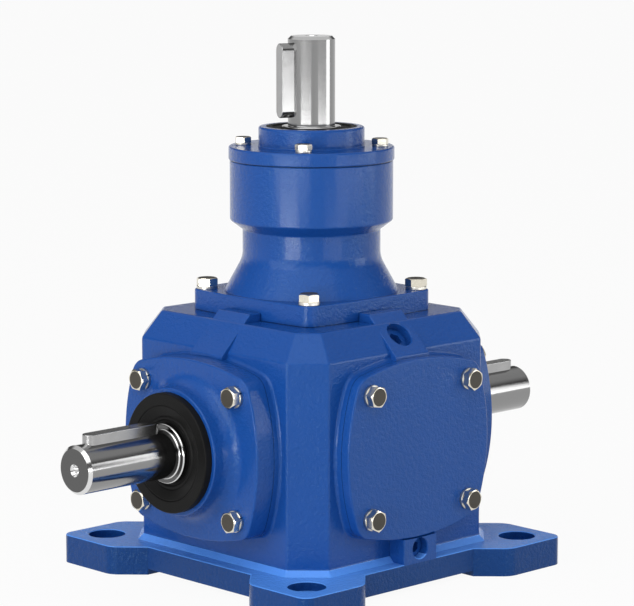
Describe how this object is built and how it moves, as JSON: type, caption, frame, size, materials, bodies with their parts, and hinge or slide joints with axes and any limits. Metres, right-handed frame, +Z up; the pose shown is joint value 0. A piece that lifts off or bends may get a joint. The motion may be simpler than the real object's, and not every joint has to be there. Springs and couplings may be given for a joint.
{
  "type": "right-angle bevel gearbox",
  "caption": "Cast right-angle spiral bevel gearbox on four feet, with a vertical keyed input shaft on top and a keyed through output shaft.",
  "frame": {"origin": "centre of the feet's underside, below the point where the two shaft axes cross", "axes": "+Z up along the input shaft, +X along the output shaft towards the crown gear's side, -Y towards the blank cover with the filler and drain plugs"},
  "size_m": [0.417, 0.245, 0.3629],
  "materials": {
    "blue_paint": "gloss blue enamel over cast iron",
    "gasket": "pressed fibre, edges painted over",
    "shim": "thin steel shims, edges painted over",
    "seal_rubber": "black moulded rubber",
    "bearing_steel": "ground bearing steel",
    "cage_steel": "pressed steel",
    "zinc_bolt": "zinc plated",
    "spring_washer": "zinc plated spring steel",
    "plug_paint": "steel socket plug, painted over with the box",
    "ground_steel": "ground and polished",
    "key_steel": "bright drawn",
    "gear_steel": "case hardened and lapped",
    "turned_steel": "turned"
  },
  "bodies": {
    "casing": {"housing": "blue_paint", "front_cover": "blue_paint", "rear_cover": "blue_paint", "left_cap": "blue_paint", "right_cap": "blue_paint", "input_carrier": "blue_paint", "input_cap": "blue_paint", "front_gasket": "gasket", "rear_gasket": "gasket", "carrier_gasket": "gasket", "left_shims": "shim", "right_shims": "shim", "input_cap_shims": "shim", "input_seal": "seal_rubber", "left_seal": "seal_rubber", "right_seal": "seal_rubber", "upper_cup": "bearing_steel", "lower_cup": "bearing_steel", "left_cup": "bearing_steel", "right_cup": "bearing_steel", "front_cover_bolts": "zinc_bolt", "rear_cover_bolts": "zinc_bolt", "left_cap_bolts": "zinc_bolt", "right_cap_bolts": "zinc_bolt", "carrier_bolts": "zinc_bolt", "input_cap_bolts": "zinc_bolt", "front_cover_washers": "spring_washer", "rear_cover_washers": "spring_washer", "left_cap_washers": "spring_washer", "right_cap_washers": "spring_washer", "carrier_washers": "spring_washer", "input_cap_washers": "spring_washer", "filler_plug": "plug_paint", "drain_plug": "plug_paint"},
    "output": {"output_shaft": "ground_steel", "crown_gear": "gear_steel", "gear_key": "key_steel", "gear_spacer": "turned_steel", "left_cone": "bearing_steel", "right_cone": "bearing_steel", "left_key": "key_steel", "right_key": "key_steel"},
    "input": {"input_shaft": "ground_steel", "pinion": "gear_steel", "pinion_key": "key_steel", "end_plate": "turned_steel", "end_bolt": "zinc_bolt", "input_key": "key_steel", "upper_cone": "bearing_steel", "lower_cone": "bearing_steel"},
    "left_roller_set": {"left_rollers": "bearing_steel", "left_cage": "cage_steel"},
    "right_roller_set": {"right_rollers": "bearing_steel", "right_cage": "cage_steel"},
    "upper_roller_set": {"upper_rollers": "bearing_steel", "upper_cage": "cage_steel"},
    "lower_roller_set": {"lower_rollers": "bearing_steel", "lower_cage": "cage_steel"}
  },
  "joints": [
    {"name": "output_spin", "type": "hinge", "parent": "casing", "child": "output", "pos_m": [0, 0, 0.096], "axis": [1, 0, 0], "continuous": true},
    {"name": "input_spin", "type": "hinge", "parent": "casing", "child": "input", "pos_m": [0, 0, 0.096], "axis": [0, 0, 1], "continuous": true},
    {"name": "left_cage_spin", "type": "hinge", "parent": "casing", "child": "left_roller_set", "pos_m": [-0.095, 0, 0.096], "axis": [1, 0, 0], "continuous": true},
    {"name": "right_cage_spin", "type": "hinge", "parent": "casing", "child": "right_roller_set", "pos_m": [0.095, 0, 0.096], "axis": [1, 0, 0], "continuous": true},
    {"name": "upper_cage_spin", "type": "hinge", "parent": "casing", "child": "upper_roller_set", "pos_m": [0, 0, 0.26], "axis": [0, 0, 1], "continuous": true},
    {"name": "lower_cage_spin", "type": "hinge", "parent": "casing", "child": "lower_roller_set", "pos_m": [0, 0, 0.168], "axis": [0, 0, 1], "continuous": true}
  ],
  "couplings": [
    {"joint": "input_spin", "follows": "output_spin", "ratio": -1.5},
    {"joint": "left_cage_spin", "follows": "output_spin", "ratio": 0.414},
    {"joint": "right_cage_spin", "follows": "output_spin", "ratio": 0.414},
    {"joint": "upper_cage_spin", "follows": "output_spin", "ratio": -0.621},
    {"joint": "lower_cage_spin", "follows": "output_spin", "ratio": -0.621}
  ]
}
